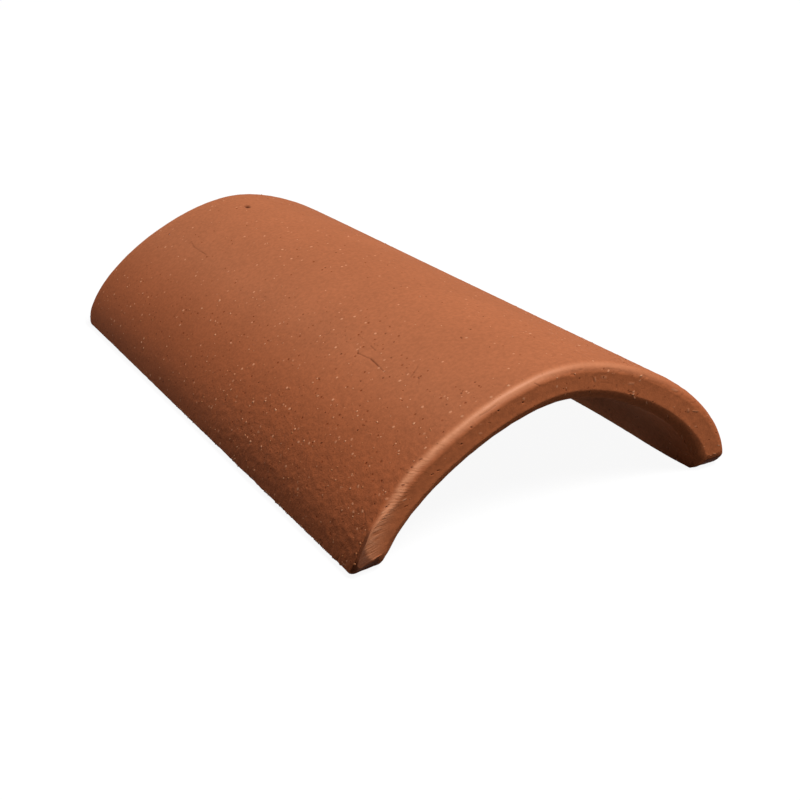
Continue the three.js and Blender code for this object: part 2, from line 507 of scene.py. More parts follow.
for longest in FINE_EDGES:
    where = sheet_places()
    marked = np.zeros(len(where), bool)
    for kind, *stops in MARKS:
        half_width = MARK_KINDS[kind][0]
        marked |= distance_to_line(where, stops) < half_width + FINE_MARGIN + longest
    clay.verts.ensure_lookup_table()
    touched = {face for k in np.flatnonzero(marked) for face in clay.verts[k].link_faces}
    long_edges = {edge for face in touched for edge in face.edges if edge.calc_length() > longest}
    in_order = sorted(long_edges, key=lambda edge: edge.index)
    bmesh.ops.subdivide_edges(clay, edges=in_order, cuts=1, use_grid_fill=True)
    clay.verts.index_update()
    clay.edges.index_update()
triangles = sum(len(face.verts) - 2 for face in clay.faces)
print("with finer places:", len(clay.verts), "points,", triangles, "triangles")

# %% [markdown]
# ## The hand of the maker
# Wet clay never stays dead true. It sags a little between the points where it is held, and every
# stroke of the hand or the board leaves a ripple. The wiped end has more: the palm pushes a low bead
# up beside a groove and leaves a thin lip on the hollow side. A soft brush could draw all that, but a
# rule can be read and changed. So we push each point of the skin along its normal by smooth seeded
# noise at a few wavelengths, and add those lines from their places on the sheet.

# %% Where the clay is wiped, and where it stayed open
# A pair of numbers is where a change starts and where it ends.
WIPED_BACK = (5.0, 8.5)
OPEN_ACROSS, OPEN_Y, LEAST_OPEN = (18.0, 98.0), (-70.0, 90.0), 0.25
SMOOTHED_RUN, SMOOTHED_ROUGH = (-1.0, 2.5), 0.15


def step(value, low, high):
    """smoothstep for a single number, which plain Python works out much faster."""
    share = min(max((value - low) / (high - low), 0.0), 1.0)
    return share * share * (3 - 2 * share)


def wiped_share(place):
    """1 on the ends that a wet hand wiped round, fading to 0 on the plain barrel."""
    return 1 - step(LENGTH / 2 - abs(place.y), *WIPED_BACK)


def rough_share(across, y, least=LEAST_OPEN):
    """Where the skin stayed open and gritty: low on the flanks, and most towards the wide end."""
    return step(abs(across), *OPEN_ACROSS) * blend(least, 1.0, 1 - step(y, *OPEN_Y))


def over_edge(run):
    """How far a place on the sheet lies over the rounding of the nearer end."""
    return run if run > -FULL_LENGTH / 2 else -run - FULL_LENGTH


def left_rough(run):
    """The share of its roughness that the hand left to a place: little of it from the rounding on."""
    return blend(1.0, SMOOTHED_ROUGH, step(over_edge(run), *SMOOTHED_RUN))


open_flank = [round(rough_share(-OPEN_ACROSS[1], y), 2) for y in (-140, 0, 140)]
print("how open the left flank is, from the wide end on:", open_flank)

# %% Lines that the palm left round an end
# The hand changed its grip over the crown, so the left and the right side differ.
GRIP_CHANGES = (-14.0, 10.0)
WANDER_WAVE, WANDER_SEED = 9.0, 5
TORN_WAVE, TORN_SEED, TORN_MIDDLE = 2.2, 11, 0.5
GROOVE_LEFT, GROOVE_RIGHT, GROOVE_WANDER = 4.2, 5.5, 0.35
GROOVE_DEPTH, GROOVE_HALF_WIDTH = 0.26, 0.75
LEFT_GROOVE, RIGHT_GROOVE, RIGHT_GROOVE_TORN = 0.7, 0.1, 0.5
LOW_BEAD, LOW_BEAD_OFF, LOW_BEAD_HALF_WIDTH = 0.10, 1.8, 0.8
LIP, LIP_RUN, LIP_HALF_WIDTH, LIP_WANDER = 0.16, 13.5, 0.7, 0.3
UNTORN_LIP, RIGHT_LIP = 0.4, 0.4
LINES_FROM = -2.0


def hump(distance, half_width):
    return math.exp(-(distance / half_width) ** 2)


def edge_lines(across, run):
    """The groove, the low bead beside it and the lip that the palm left round an end."""
    run = over_edge(run)
    if not LINES_FROM < run < HOLLOW_FROM:
        return 0.0
    wander = noise.noise(Vector((across / WANDER_WAVE, 0, WANDER_SEED)))
    torn = TORN_MIDDLE + noise.noise(Vector((across / TORN_WAVE, run / TORN_WAVE, TORN_SEED)))
    right = step(across, *GRIP_CHANGES)
    groove_run = blend(GROOVE_LEFT, GROOVE_RIGHT, right) + GROOVE_WANDER * wander
    groove = -GROOVE_DEPTH * hump(run - groove_run, GROOVE_HALF_WIDTH)
    groove *= blend(LEFT_GROOVE, RIGHT_GROOVE + RIGHT_GROOVE_TORN * torn, right)
    bead = LOW_BEAD * hump(run - groove_run - LOW_BEAD_OFF, LOW_BEAD_HALF_WIDTH) * (1 - right)
    lip = LIP * hump(run - LIP_RUN - LIP_WANDER * wander, LIP_HALF_WIDTH)
    lip *= blend(UNTORN_LIP, 1.0, torn)
    lip *= blend(1.0, RIGHT_LIP, right)
    return groove + bead + lip


across_columns = range(-90, 91, 30)
print("lip in mm, from left to right:", [round(edge_lines(across, LIP_RUN), 2) for across in across_columns])

# %% Relief at one place
SAG, SAG_WAVE = 0.16, 75.0
STROKE, STROKE_WAVE = 0.05, Vector((6.0, 22.0, 6.0))
SKIN, SKIN_WAVE = 0.06, 3.2
ROUGH_SKIN, ROUGH_WAVE = 0.27, 2.4
HOLLOW_DRAG, HOLLOW_WAVE = 0.10, Vector((3.5, 40.0, 3.5))
WIPED_RIPPLE, WIPED_WAVE = 0.075, 3.6
# Right of the crown the hand pressed the face and the rim of the hollow in by this much.
PRESSED, PRESSED_ACROSS, PRESSED_FROM, PRESSED_TO = 0.12, (0.0, 30.0), (5.2, 7.6), (HOLLOW_FROM, 60.0)
# Inside the right foot the wall dried thicker round one run and thinner round the other.
WARP, WARP_ACROSS = 0.8, (70.0, 100.0)
THICKER_RUN, THICKER_HALF_WIDTH = 30.0, 25.0
THINNER_RUN, THINNER_HALF_WIDTH = 95.0, 38.0


def wave(place, length):
    if isinstance(length, Vector):
        return noise.noise(Vector((place.x / length.x, place.y / length.y, place.z / length.z)))
    return noise.noise(place / length)


def foot_warp(across, run):
    warped = hump(run - THICKER_RUN, THICKER_HALF_WIDTH) - hump(run - THINNER_RUN, THINNER_HALF_WIDTH)
    return WARP * step(across, *WARP_ACROSS) * warped


def relief(place, across, run):
    wiped = wiped_share(place)
    # Minus one, because a sag only goes inwards.
    height = SAG * (wave(place, SAG_WAVE) - 1)
    height += STROKE * wave(place, STROKE_WAVE) * (1 - wiped)
    height += SKIN * wave(place, SKIN_WAVE)
    height += WIPED_RIPPLE * wave(place, WIPED_WAVE) * wiped
    height += edge_lines(across, run)
    pressed = PRESSED * step(across, *PRESSED_ACROSS) * step(run, *PRESSED_FROM)
    height -= pressed * (1 - step(run, *PRESSED_TO))
    if run > HOLLOW_FROM:
        height += HOLLOW_DRAG * wave(place, HOLLOW_WAVE) + foot_warp(across, run)
    else:
        height += ROUGH_SKIN * wave(place, ROUGH_WAVE) * rough_share(across, place.y) * left_rough(run)
    return height


crown_middle = Vector((0.0, 0.0, WIDE_END["rise"]))
print("relief over the middle in mm:", round(relief(crown_middle, 0.0, FULL_FROM), 2))

# %% Push the skin in and out
# A mark fades out at this many times half its width.
MARK_FADE = 1.4


clay.normal_update()
where = sheet_places()
heights = np.array([relief(vert.co, across, run) for vert, (across, run) in zip(clay.verts, where.tolist())])
dark = np.zeros(len(where))
chalky = np.zeros(len(where))
# Each cut is darkened with painted shade, a dark colour standing for the shadow inside it.
for kind, *stops in MARKS:
    half_width, depth, mark_shade, chalk = MARK_KINDS[kind]
    share = 1 - smoothstep(distance_to_line(where, stops), 0, half_width * MARK_FADE)
    heights -= depth * share
    dark = np.maximum(dark, mark_shade * share)
    chalky = np.maximum(chalky, chalk * share)
normals = [vert.normal.copy() for vert in clay.verts]
for vert, normal, height in zip(clay.verts, normals, heights.tolist()):
    vert.co += height * normal
print("pushed in mm: from", round(heights.min(), 2), "to", round(heights.max(), 2))

# %% [markdown]
# ## What each place of the clay is like
# The shader will want to know where the clay is open, pale, cut, sanded, chalky, and darkened with
# painted shade; the pale edge and the sanded hollow also carry painted light. A painter would brush
# those patches on by hand. We work each one out from the place on the sheet instead, as a share from
# 0 to 1 with soft ends, because a patch in numbers can be read, moved and made softer.

# %% The pale film that dried on the wiped edge, and its painted highlight
# At the left foot it is wider and slants over onto the face.
# Its colour is partly the slip's own and partly a painted highlight.
PALE_RUN, PALE_SLANT, PALE_SLANTS_FROM = 3.0, 0.13, -78.0
LOW_LEFT = (-112.0, -88.0)
PALE_HALF_WIDTH, PALE_HALF_WIDTH_LOW = 1.5, 3.4
# How pale it is low on the left, beyond the crown, and how much is left of that on the right flank.
PALE_LOW = 0.65
BEYOND_CROWN, PALE_BEYOND = (-30.0, 12.0), 0.4
RIGHT_FLANK, PALE_RIGHT = (20.0, 55.0), 0.25
# The strokes of the wiping hand show best at the left foot, and faintly as far as the crown.
DRAGGED_OFF, DRAGGED_HALF_WIDTH = 0.8, 2.6
DRAGGED_MOST, DRAGGED_FAINT, FAINT_UP_TO = (-86.0, -50.0), 0.12, (-20.0, 20.0)


def pale_middle(across):
    return PALE_RUN + PALE_SLANT * max(PALE_SLANTS_FROM - across, 0)


def pale_share(across, run):
    low = 1 - step(across, *LOW_LEFT)
    strength = blend(1.0, PALE_LOW, low)
    strength *= blend(1.0, PALE_BEYOND, step(across, *BEYOND_CROWN))
    strength *= blend(1.0, PALE_RIGHT, step(across, *RIGHT_FLANK))
    half_width = blend(PALE_HALF_WIDTH, PALE_HALF_WIDTH_LOW, low)
    return strength * hump(over_edge(run) - pale_middle(across), half_width)


def dragged_share(across, run):
    faint = DRAGGED_FAINT * (1 - step(across, *FAINT_UP_TO))
    strength = blend(faint, 1.0, 1 - step(across, *DRAGGED_MOST))
    return hump(over_edge(run) - pale_middle(across) - DRAGGED_OFF, DRAGGED_HALF_WIDTH) * strength


pale_columns = [round(pale_share(across, PALE_RUN), 2) for across in across_columns]
print("pale film, from left to right:", pale_columns)

# %% Cut, open and sanded clay, and painted light in the hollow
CUT_FROM, CUT_FADE = 4.5, 4.0
OPEN_ENDS = (1.0, 4.0)
FACE_GRIT, HOLLOW_GRIT = 0.1, 0.2
# Sanded clay and painted light: the hollow turns paler from just before its start to this far in.
PALER_EARLY, PALER_FADE = 2.0, 35.0


def cut_share(run):
    """1 on the cut face of an end and down its inner bevel."""
    run = over_edge(run)
    return step(run, CUT_FROM, FACE_FROM) * (1 - step(run, FACE_TO, HOLLOW_FROM + CUT_FADE))


def grit_share(across, y, run):
    """How open and gritty: on the outside by place, on the cut faces and in the hollow evenly."""
    if run > HOLLOW_FROM:
        return HOLLOW_GRIT
    return max(rough_share(across, y) * (1 - step(over_edge(run), *OPEN_ENDS)), FACE_GRIT * cut_share(run))


def sanded_and_lit_share(run):
    """1 on the hollow side, which lay on the sanded former; its rise deeper in paints light into the hollow.
    """
    return step(run, HOLLOW_FROM - PALER_EARLY, HOLLOW_FROM + PALER_FADE)


print("cut clay down the wide end, each 4 mm:", [round(cut_share(run), 2) for run in range(0, 24, 4)])

# %% Painted shade under the feet and on the corner of the left foot
# Painted shade: the soles of the feet and the bevels of their ends are darkened where they face down,
# away from the lamp. Such a place faces down by at least this much, more of it towards the hollow.
SHADE_TILT, SHADE_TILT_HOLLOW, TILT_FADE = 0.3, 0.75, 0.2
# How high the dark climbs at the right foot and at the left one. Further left than this x its top
# falls, by this much a millimetre.
SHADE_TOP_RIGHT, SHADE_TOP_LEFT, SHADE_TOP_FADE = 8.5, 7.4, 0.5
SHADE_FALLS_FROM, SHADE_FALLS = -87.0, 0.5
# Outside the hollow, the corner of the left foot stays light; the dark starts at this x.
SHADE_CORNER = (-92.5, -90.5)
# Painted shade on the corner of the left foot, where its rounding turns from the lamp, up to the
# slanting edge of the light face.
CORNER_SHADE, CORNER_SHADE_ACROSS, CORNER_SHADE_FROM = 0.75, (-108.0, -102.0), (1.0, 2.5)
CORNER_SHADE_TO, CORNER_SHADE_SLANT, CORNER_SHADE_FADE = 3.2, 0.31, 0.3


# How much painted shade darkens a low place that faces down.
def underside_shade_share(place, normal, run):
    run = over_edge(run)
    tilt = blend(SHADE_TILT, SHADE_TILT_HOLLOW, step(run, FACE_TO, HOLLOW_FROM))
    top = SHADE_TOP_RIGHT if place.x > 0 else SHADE_TOP_LEFT + SHADE_FALLS * min(place.x - SHADE_FALLS_FROM, 0)
    below_top = 1 - step(place.z, top - SHADE_TOP_FADE, top + SHADE_TOP_FADE)
    inside_corner = step(place.x, *SHADE_CORNER) if run < HOLLOW_FROM else 1.0
    return step(-normal.z, tilt, tilt + TILT_FADE) * below_top * inside_corner


def corner_shade_share(across, run):
    edge = CORNER_SHADE_TO + CORNER_SHADE_SLANT * (CORNER_SHADE_ACROSS[1] - across)
    before_edge = 1 - step(run, edge - CORNER_SHADE_FADE, edge + CORNER_SHADE_FADE)
    return before_edge * step(run, *CORNER_SHADE_FROM) * (1 - step(across, *CORNER_SHADE_ACROSS))


DARK_ENOUGH = 0.5
clay.normal_update()
# The undersides and the corner of the left foot are darkened with painted shade.
shade_at_points = []
for vert, (across, run) in zip(clay.verts, where.tolist()):
    shade_at_points.append(max(underside_shade_share(vert.co, vert.normal, run), CORNER_SHADE * corner_shade_share(across, run)))
dark = np.maximum(dark, shade_at_points)
print("dark points:", int((dark > DARK_ENOUGH).sum()), "of", len(dark))

# %% [markdown]
# ## Back into metres, and inside the solid
# The solid's box is a promise to whoever stacks or ships the tile, so no grain of the visible one may
# stand outside it. The feet may not sink into the floor either. We hold every point to that box.
# What each place is like goes along as named attributes of the points, for the shader to read.

# %% Make the tile object
ROOM = 0.02
BOX_LOW = [edge / MM + ROOM for edge in cad_low]
BOX_HIGH = [edge / MM - ROOM for edge in cad_high]


def new_object(name, data):
    made = bpy.data.objects.new(name, data)
    bpy.context.scene.collection.objects.link(made)
    return made


def into_box(place):
    return Vector(min(max(value, low), high) * MM for value, low, high in zip(place, BOX_LOW, BOX_HIGH))


# The flanks stay just as dark along the tile, as open clay and as painted shade, while the grit thins
# out towards the narrow end.
on_points = [(across, vert.co.y, run) for vert, (across, run) in zip(clay.verts, where.tolist())]
shares = {
    "rough": [grit_share(across, y, run) for across, y, run in on_points],
    "darker": [rough_share(across, y, 1.0) for across, y, _ in on_points],
    "dragged": [dragged_share(across, run) for across, _, run in on_points],
    "pale": [pale_share(across, run) for across, _, run in on_points],
    "cut": [cut_share(run) for _, _, run in on_points],
    "sanded_and_lit": [sanded_and_lit_share(run) for _, _, run in on_points],
    "dark": dark,
    "chalky": chalky,
}
for vert in clay.verts:
    vert.co = into_box(vert.co)
bmesh.ops.triangulate(clay, faces=clay.faces)
skin = bpy.data.meshes.new("tile_skin")
clay.to_mesh(skin)
skin.shade_smooth()
for name, values in shares.items():
    skin.attributes.new(name, "FLOAT", "POINT").data.foreach_set("value", values)
sheet_vectors = np.column_stack([where, np.zeros(len(where))]).ravel()
skin.attributes.new("sheet", "FLOAT_VECTOR", "POINT").data.foreach_set("vector", sheet_vectors)
tile = new_object("tile", skin)
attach(tile, "root")
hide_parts("barrel_tile")
print("tile:", len(skin.vertices), "points,", len(skin.polygons), "triangles")

# %% [markdown]
# ## Grog
# Potters mix ground-up fired clay, called grog, into the raw clay so that it shrinks less. On the
# smoothed crown the grains are pressed under the skin; low on the flanks, where the skin stayed open,
# they stand out as pale grit. Each grain is a small, uneven stone sunk into the skin. They are one
# joined mesh, since thousands of objects would make the scene slow.

# %% One grain
SEED = 27
GRAIN_SIDES = 6
GRAIN_POINTS = 2 * GRAIN_SIDES + 2
# How far out each side reaches and how flat the grain is, as shares of half its width.
GRAIN_REACH, GRAIN_SQUASH = (0.7, 1.25), (0.6, 1.0)
# The shoulder ring lies this far in and up, the next ring this far down in the skin, and the foot lower.
SHOULDER_IN, SHOULDER_UP, RING_DOWN, FOOT_DOWN = 0.62, 0.72, 0.3, 1.2
# No skin faces exactly this way, so it always gives a direction along the skin.
NEARLY_Y = (0, 1, 0.1)
rng = np.random.default_rng(SEED)
grain_points, grain_faces, grain_tints = [], [], []


def add_grain(place, outward, size, shows, tint):
    """An uneven stone: a top, a shoulder ring, a ring in the skin and a foot. Size is half its width."""
    side = np.cross(outward, NEARLY_Y)
    side /= np.linalg.norm(side)
    other = np.cross(outward, side)
    angles = np.arange(GRAIN_SIDES) * 2 * math.pi / GRAIN_SIDES + rng.uniform(0, 1)
    reach = size * rng.uniform(*GRAIN_REACH, GRAIN_SIDES)
    squash = rng.uniform(*GRAIN_SQUASH)
    around = np.outer(np.cos(angles) * reach, side) + np.outer(np.sin(angles) * reach * squash, other)
    start = len(grain_points)
    stone = [place + shows * outward]
    stone += list(place + SHOULDER_IN * around + SHOULDER_UP * shows * outward)
    stone += list(place + around - RING_DOWN * shows * outward)
    stone.append(place - FOOT_DOWN * shows * outward)
    grain_points.extend(into_box(point) for point in stone)
    grain_tints.extend([tint] * GRAIN_POINTS)
    foot = start + GRAIN_POINTS - 1
    for k in range(GRAIN_SIDES):
        here, there = start + 1 + k, start + 1 + (k + 1) % GRAIN_SIDES
        low_here, low_there = here + GRAIN_SIDES, there + GRAIN_SIDES
        grain_faces.append((start, here, there))
        grain_faces.append((here, low_here, low_there, there))
        grain_faces.append((foot, low_there, low_here))


print("triangles in a grain:", 4 * GRAIN_SIDES)

# %% Scatter the grains
# Thrown evenly over the tile; a grain stays with this chance, a better one where the clay is open.
GRAIN_TRIES = 9000
BASE_CHANCE, ROUGH_CHANCE, CHANCE_POWER = 0.07, 0.22, 1.3
# In millimetres, the size being half the width. Small ones are more common, and larger ones stand out.
GRAIN_SIZE, SIZE_POWER = (0.30, 0.62), 2.5
GRAIN_SHOWS, LARGEST_SHOWS = (0.10, 0.24), 1.4
# This share of the grains is dark with iron, which the tint 0 stands for.
IRON_GRAINS = 0.12

face_area = np.zeros(len(skin.polygons))
skin.polygons.foreach_get("area", face_area)
corners = np.zeros(len(skin.polygons) * 3, int)
skin.loops.foreach_get("vertex_index", corners)
corners = corners.reshape(-1, 3)
spots = np.zeros(len(skin.vertices) * 3)
skin.vertices.foreach_get("co", spots)
spots = spots.reshape(-1, 3) / MM
directions = np.array([tuple(vert.normal) for vert in skin.vertices])
rough = np.array(shares["rough"])

for face_index in rng.choice(len(corners), GRAIN_TRIES, p=face_area / face_area.sum()):
    trio = corners[face_index]
    weight = rng.dirichlet((1, 1, 1))
    place, outward = weight @ spots[trio], weight @ directions[trio]
    outward /= np.linalg.norm(outward)
    _, run = weight @ where[trio]
    size = blend(*GRAIN_SIZE, rng.random() ** SIZE_POWER)
    shows = rng.uniform(*GRAIN_SHOWS) * size / GRAIN_SIZE[1] * LARGEST_SHOWS
    luck, tint = rng.random(), rng.random()
    if run > FACE_TO or luck > BASE_CHANCE + ROUGH_CHANCE * (weight @ rough[trio]) ** CHANCE_POWER:
        continue
    add_grain(place, outward, size, shows, 0.0 if tint < IRON_GRAINS else tint)
print("grains on the skin:", len(grain_tints) // GRAIN_POINTS)

# %% Stones large enough to see from a step away
# A few are given one by one: across, y, and half the width.
STONES = [
    (-105, -45, 0.75), (-89, -69, 0.65), (-90, -34, 0.60), (-91, -78, 0.56),
    (-77, -84, 0.52), (-70, -94, 0.52), (-68, -106, 0.52), (-60, -122, 0.62),
    (-69, -58, 0.58), (-55, -105, 0.58), (-54, -64, 0.47), (-50, -35, 0.55),
    (-45, -60, 0.46), (-42, -73, 0.44), (-70, 47, 0.58), (-51, 24, 0.42),
]
# The others lie anywhere on the outside, more of them where the clay is open.
OTHER_STONES, OTHER_STONE_SIZE, OTHER_STONE_POWER = 88, (0.40, 0.68), 2
STONE_SHOWS, STONE_TINTS = 0.35, (0.75, 1.0)

stones = [(np.argmin(np.hypot(*(where - barrel(across, y)).T)), size) for across, y, size in STONES]
outer_corner = corners[:, 0]
chance = face_area * rough[outer_corner] * (where[outer_corner, 1] < 0)
for corner in rng.choice(outer_corner, OTHER_STONES, p=chance / chance.sum()):
    stones.append((corner, blend(*OTHER_STONE_SIZE, rng.random() ** OTHER_STONE_POWER)))
for corner, size in stones:
    add_grain(spots[corner], directions[corner], size, STONE_SHOWS * size, rng.uniform(*STONE_TINTS))
print("stones:", len(stones))

# %% [markdown]
# ## The burr at the foot
# Where the sheet was cut along its long edge, the wire pushes up a rough burr, and it stays as a row
# of crumbs. They are the same kind of grain, so they join the same mesh, packed along the left foot.

# %% Crumbs along the cut edge
# From this y to that one, how many.
BURR_RUNS = [(-128.0, -66.0, 150), (12.0, 24.0, 30), (-66.0, 120.0, 80)]
BURR_X, BURR_HEIGHT = -95.0, (0.8, 2.4)
BURR_OUTWARD = np.array([-0.97, 0.0, 0.24])
BURR_SIZE, BURR_SHOWS, BURR_TINTS = (0.22, 0.50), 0.4, (0.3, 0.9)
FEET_FROM = 96.0

foot_spots = spots[np.abs(where[:, 0]) > FEET_FROM]
for low_y, high_y, count in BURR_RUNS:
    for _ in range(count):
        target = np.array([BURR_X, rng.uniform(low_y, high_y), rng.uniform(*BURR_HEIGHT)])
        nearest = foot_spots[np.argmin(((foot_spots - target) ** 2).sum(axis=1))]
        size = rng.uniform(*BURR_SIZE)
        add_grain(nearest, BURR_OUTWARD, size, BURR_SHOWS * size, rng.uniform(*BURR_TINTS))

grain_mesh = bpy.data.meshes.new("grog_grains")
grain_mesh.from_pydata(grain_points, [], grain_faces)
grain_mesh.attributes.new("tint", "FLOAT", "POINT").data.foreach_set("value", grain_tints)
grain_mesh.shade_smooth()
grains = new_object("grog_grains", grain_mesh)
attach(grains, "root")
grain_triangles = sum(len(face) - 2 for face in grain_faces)
print("grains in all:", len(grain_tints) // GRAIN_POINTS, "triangles:", grain_triangles)

# %% [markdown]
# ## Fired terracotta
# Terracotta is iron-bearing clay fired to about 1000 degrees: the iron turns it orange-red. It is
# unglazed and full of pores, so nearly all its light comes back without gloss. Where a wet hand
# wiped it, fine slip floated up and dried to a paler, smoother film with a little sheen; its paler
# colour is also a painted highlight along the wiped edge.
#
# We could give the whole tile one orange, but fired clay is never one colour. So the base is mixed
# from a smoothed and an open, darker clay, whose dark on the flanks is also painted shade, with the cut
# faces and the sanded hollow redder and paler, the hollow paler deeper in as painted light, clouded
# over a few centimetres and freckled in the size of real grit. The pale edge carries a painted
# highlight, and the pores, cut marks and undersides painted shade. The bump takes care of relief that
# is too fine for the mesh.

# %% Material helpers
CLAY_IOR = 1.5
CLAY_GLOSS = 0.05
TIMES = {"operation": "MULTIPLY"}
TIMES_PLUS = {"operation": "MULTIPLY_ADD"}
# A colour Mix has its factor at socket 0, its two colours at 6 and 7, and its result at output 2.
COLOUR_MIX = {"data_type": "RGBA"}


def linear(code):
    """A #RRGGBB colour as the linear red, green, blue and alpha that Blender's sockets take."""
    parts = [int(code[k:k + 2], 16) / 255 for k in (1, 3, 5)]
    # These numbers are the sRGB standard's own.
    return [p / 12.92 if p <= 0.04045 else ((p + 0.055) / 1.055) ** 2.4 for p in parts] + [1.0]


def add(tree, kind, settings=None, **links):
    """One node: settings by property, socket name or socket number, and outputs to plug into sockets.

    Its kind is Blender's name without ShaderNode in front. A link is called after its socket, as in
    Base_Color, or after the socket's number, as in _0.
    """
    made = tree.nodes.new("ShaderNode" + kind)
    for name, value in (settings or {}).items():
        if isinstance(name, int) or name in made.inputs:
            made.inputs[name].default_value = value
        else:
            setattr(made, name, value)
    for name, source in links.items():
        socket = int(name[1:]) if name[1:].isdigit() else name.replace("_", " ")
        tree.links.new(source, made.inputs[socket])
    return made


def new_material(name):
    material = bpy.data.materials.new(name)
    material.use_nodes = True
    material.node_tree.nodes.clear()
    return material, material.node_tree


terracotta, tree = new_material("fired_terracotta_smoothed_by_hand")
print("material:", terracotta.name)

# %% Patterns of the fired clay
SMOOTHED_CLAY = "#BA6F4A"
# Open clay, darker on the flanks away from the crown; that darkening is also painted shade.
OPEN_CLAY_AND_SHADE = "#AE5F39"
CUT_CLAY = "#C06D43"
# Sanded clay, paler deeper in the hollow as painted light.
SANDED_CLAY_AND_LIGHT = "#DE8C64"
DARKER_SHOWS_FROM = 0.3
# Their size, how much of the noise's range is cut off at each end, and their strength.
CLOUDS = (38 * MM, 0.30, 0.05)
FRECKLES = (1.6 * MM, 0.25, 0.11)

coords = add(tree, "TexCoord").outputs["Object"]
rough_fac, open_and_shade_fac, dragged_fac, pale_fac, cut_fac, sanded_and_lit_fac, dark_fac, chalky_fac = (
    add(tree, "Attribute", {"attribute_name": name}).outputs["Fac"] for name in shares)
open_and_shade_fac = add(tree, "MapRange", {"From Min": DARKER_SHOWS_FROM}, Value=open_and_shade_fac).outputs[0]
base = add(tree, "Mix", COLOUR_MIX | {6: linear(SMOOTHED_CLAY), 7: linear(OPEN_CLAY_AND_SHADE)},
           _0=open_and_shade_fac).outputs[2]
for share, code in ((cut_fac, CUT_CLAY), (sanded_and_lit_fac, SANDED_CLAY_AND_LIGHT)):
    base = add(tree, "Mix", COLOUR_MIX | {7: linear(code)}, _0=share, _6=base).outputs[2]
levels = []
for size, margin, strength in (CLOUDS, FRECKLES):
    noise_settings = {"Scale": 1 / size, "Detail": 3.0}
    pattern = add(tree, "TexNoise", noise_settings, Vector=coords).outputs["Fac"]
    ends = {"From Min": margin, "From Max": 1 - margin, "To Min": 1 - strength, "To Max": 1 + strength}
    levels.append(add(tree, "MapRange", ends, Value=pattern).outputs[0])
level = add(tree, "Math", TIMES, _0=levels[0], _1=levels[1]).outputs[0]
clouded = add(tree, "Mix", COLOUR_MIX | {"blend_type": "MULTIPLY", 0: 1.0},
              _6=base, _7=level).outputs[2]
print("nodes of the clay so far:", len(tree.nodes))

# %% Specks and pores
# In millimetres on the sheet. The last two are the shares of the cells that have a dot: on smooth
# clay, and on clay that is at least as open as open_at.
SPECKS = {"cell": 2.2, "radius": 0.64, "open_at": 0.30, "on_smooth": 0.023, "on_open": 0.048}
PORES = {"cell": 1.9, "radius": 0.53, "open_at": 0.25, "on_smooth": 0.017, "on_open": 0.078}
SMALLEST_DOT, LARGEST_DOT = 0.5, 1.3
DOT_CORE, FAINTEST_DOT = 0.5, 0.25
WOBBLE, WOBBLE_SIZE = 0.5, 0.8

on_sheet = add(tree, "Attribute", {"attribute_name": "sheet"}).outputs["Vector"]
wobble = add(tree, "TexNoise", {"Scale": 1 / WOBBLE_SIZE, "Detail": 1.0}, Vector=on_sheet)
shaken = add(tree, "VectorMath", TIMES_PLUS | {1: (WOBBLE, WOBBLE, 0)},
             _0=wobble.outputs["Color"], _2=on_sheet).outputs[0]


def dots(cell, radius, open_at, on_smooth, on_open):
    """Scattered uneven dots of several sizes: about one in each cell, of which few are kept."""
    cells = add(tree, "TexVoronoi", {"voronoi_dimensions": "2D", "Scale": 1 / cell}, Vector=shaken)
    chance, luck, force = add(tree, "SeparateColor", None, Color=cells.outputs["Color"]).outputs
    sizes = {"To Min": SMALLEST_DOT, "To Max": LARGEST_DOT}
    size = add(tree, "MapRange", sizes, Value=luck).outputs[0]
    away = add(tree, "Math", {"operation": "DIVIDE"},
               _0=cells.outputs["Distance"], _1=size).outputs[0]
    edge = {"From Min": radius / cell, "From Max": DOT_CORE * radius / cell}
    near = add(tree, "MapRange", edge, Value=away).outputs[0]
    frequency = {"From Max": open_at, "To Min": on_smooth, "To Max": on_open}
    kept = add(tree, "MapRange", frequency, Value=rough_fac).outputs[0]
    picked = add(tree, "Math", {"operation": "LESS_THAN"}, _0=chance, _1=kept).outputs[0]
    force = add(tree, "MapRange", {"To Min": FAINTEST_DOT}, Value=force).outputs[0]
    near = add(tree, "Math", TIMES, _0=near, _1=force).outputs[0]
    return add(tree, "Math", TIMES, _0=near, _1=picked).outputs[0]


specks = dots(**SPECKS)
# The pores are sunk by the bump and also darkened with painted shade in the colour below.
pores = dots(**PORES)
print("nodes of the clay so far:", len(tree.nodes))

# %% Strokes, chalk, painted shade and the finished colour
# Partly the pale slip's colour and partly a painted highlight.
PALE_SLIP_AND_HIGHLIGHT = "#E09369"
PALE_GRIT = "#E79F77"
CHALKY_CLAY = "#E6A982"
# Painted shade: the dark colour of the cut marks, the undersides of the feet and the left foot's corner, and
# the darker colour inside the pores.
PAINTED_SHADE_BROWN, PORE_SHADE_BROWN = "#5B2D1A", "#8A3F1C"
# The strokes of the wiping hand, in millimetres wide across and long over the edge, streak the pale
# film and its painted highlight.
STROKE_WIDTH, STROKE_LENGTH = 1.0, 3.4
STREAKS, STREAK_MARGIN = 0.65, 0.35

